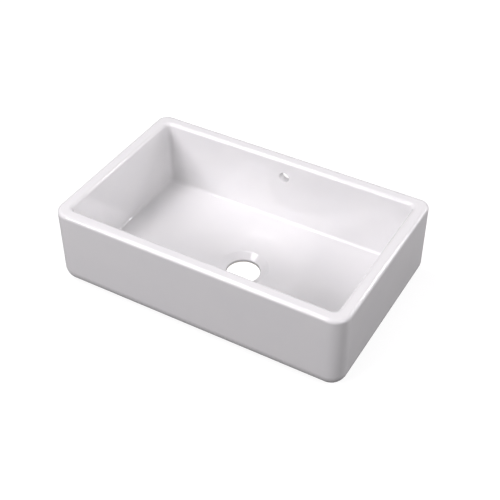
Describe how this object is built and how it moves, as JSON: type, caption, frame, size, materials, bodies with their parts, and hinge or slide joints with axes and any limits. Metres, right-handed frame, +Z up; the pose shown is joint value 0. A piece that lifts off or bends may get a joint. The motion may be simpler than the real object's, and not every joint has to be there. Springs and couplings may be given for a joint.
{
  "type": "butler sink",
  "caption": "Rectangular glazed fireclay butler sink: a deep open basin with a flat rounded rim, a recessed waste hole in the floor and an overflow hole through the back wall.",
  "frame": {"origin": "middle of the flat underside, on the surface that the sink stands on", "axes": "+X to the right along the length as seen from the front, +Y to the back wall that holds the overflow, +Z up through the open top"},
  "size_m": [0.795, 0.5, 0.22],
  "materials": {
    "white_glaze": "glossy white glaze over fireclay, with a bare matt underside"
  },
  "bodies": {
    "root": {"sink_body": "white_glaze"}
  },
  "joints": []
}
